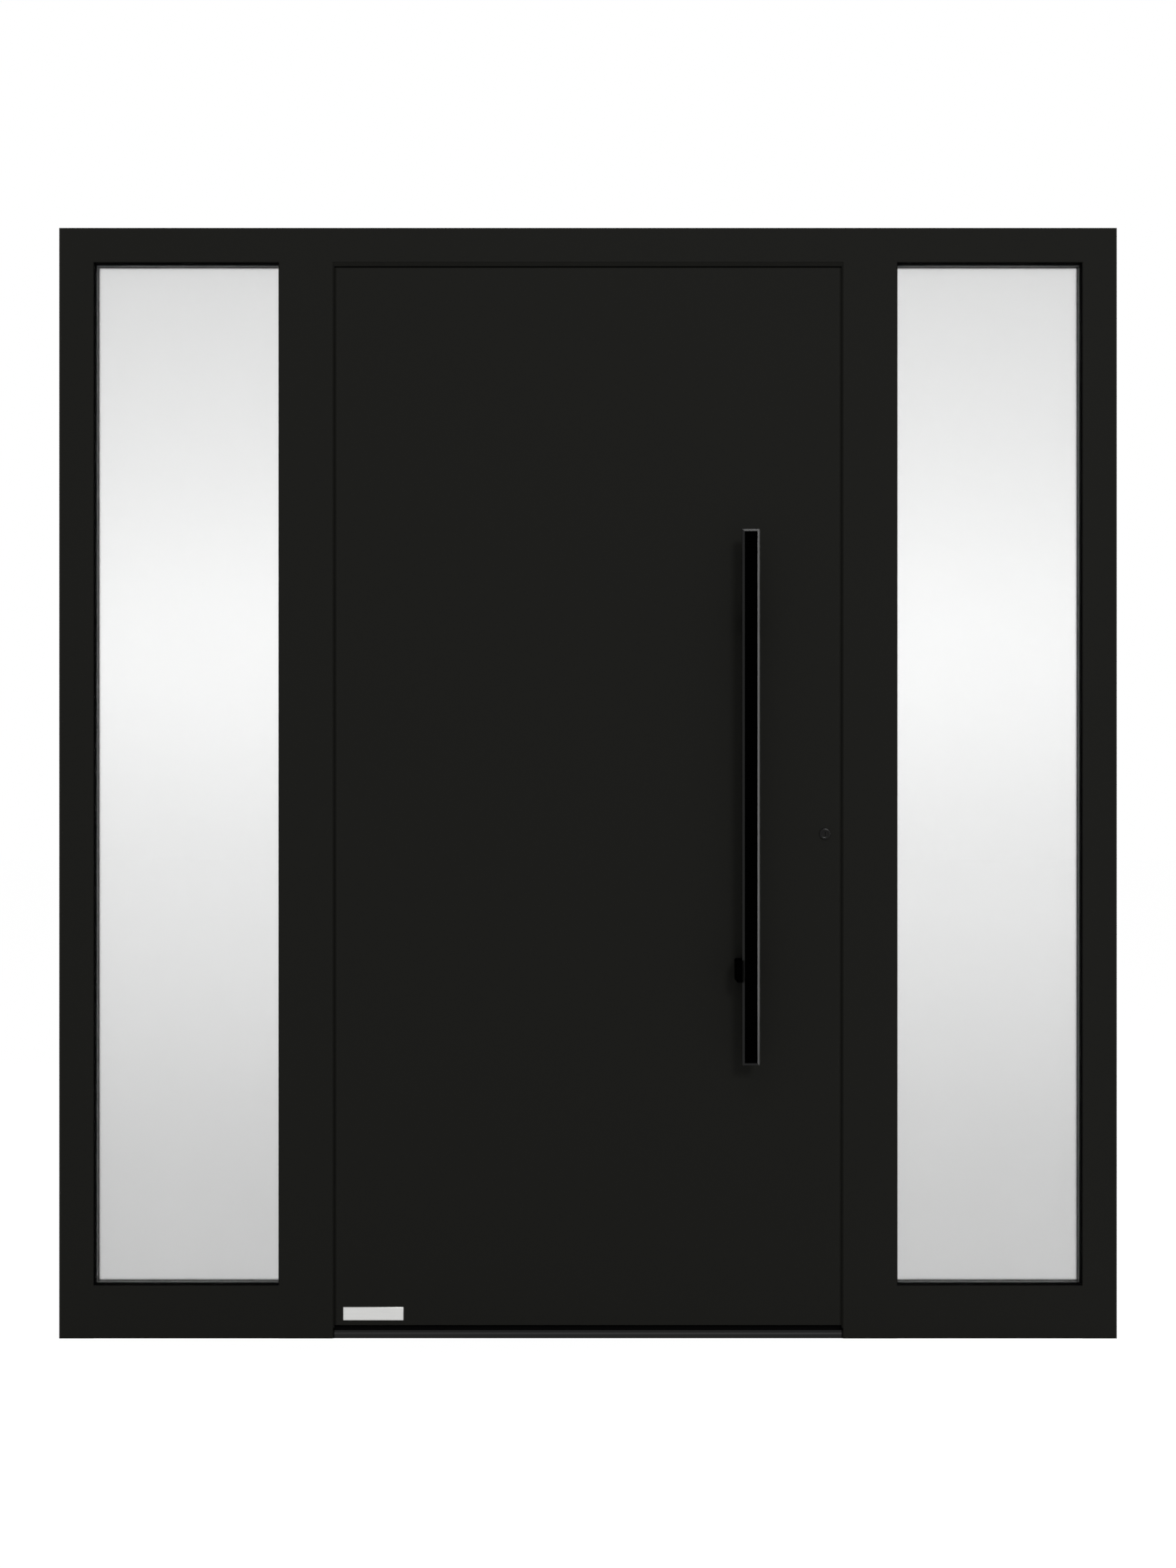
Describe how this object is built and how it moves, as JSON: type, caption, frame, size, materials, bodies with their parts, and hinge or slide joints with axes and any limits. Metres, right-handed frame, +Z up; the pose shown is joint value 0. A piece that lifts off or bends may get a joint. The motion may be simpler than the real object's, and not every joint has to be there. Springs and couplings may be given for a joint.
{
  "type": "entrance door with sidelights",
  "caption": "Flush entrance door leaf with a long outside pull bar, hung between satin-glazed sidelights in one thermally broken aluminium frame.",
  "frame": {"origin": "on the underside of the threshold, in the middle of the frame's width and depth", "axes": "+X to the right seen from outside, +Y from outside to inside, +Z up"},
  "size_m": [2, 0.207, 2.1],
  "materials": {
    "coat": "matte",
    "insulating_bar": "matte",
    "threshold_metal": "satin",
    "clear_glass": "polished",
    "satin_glass": "matte",
    "spacer": "matte",
    "gasket": "matte",
    "lock_steel": "satin",
    "hinge_coat": "satin",
    "bar_coat": "satin",
    "bar_inlay": "matte",
    "cylinder_metal": "satin"
  },
  "bodies": {
    "frame": {"left_jamb_outer": "coat", "left_jamb_inner": "coat", "right_jamb_outer": "coat", "right_jamb_inner": "coat", "head_outer": "coat", "head_inner": "coat", "left_mullion_outer": "coat", "left_mullion_inner": "coat", "right_mullion_outer": "coat", "right_mullion_inner": "coat", "left_bottom_rail_outer": "coat", "left_bottom_rail_inner": "coat", "right_bottom_rail_outer": "coat", "right_bottom_rail_inner": "coat", "frame_thermal_breaks": "insulating_bar", "threshold_outer": "threshold_metal", "threshold_break": "insulating_bar", "threshold_inner": "threshold_metal", "left_outer_pane": "clear_glass", "left_inner_pane": "satin_glass", "left_spacer": "spacer", "right_outer_pane": "clear_glass", "right_inner_pane": "satin_glass", "right_spacer": "spacer", "left_glazing_gaskets": "gasket", "right_glazing_gaskets": "gasket", "left_glazing_beads": "coat", "right_glazing_beads": "coat", "door_seal": "gasket", "strike_plates": "lock_steel", "frame_hinge_leaves": "hinge_coat"},
    "leaf": {"leaf_outer_skin": "coat", "leaf_core": "insulating_bar", "leaf_inner_skin": "coat", "leaf_bottom_seal": "gasket", "lock_faceplate": "lock_steel", "lock_bolts": "lock_steel", "pull_bar": "bar_coat", "pull_bar_inlay": "bar_inlay", "pull_bar_standoffs": "bar_inlay", "lock_cylinder": "cylinder_metal", "inside_lever": "bar_coat", "inside_rosettes": "bar_coat", "leaf_hinge_leaves": "hinge_coat", "hinge_pins": "lock_steel"}
  },
  "joints": [
    {"name": "leaf_swing", "type": "hinge", "parent": "frame", "child": "leaf", "pos_m": [-0.4995, 0.054, 1.03], "axis": [0, 0, 1], "range_deg": [0, 110]}
  ]
}
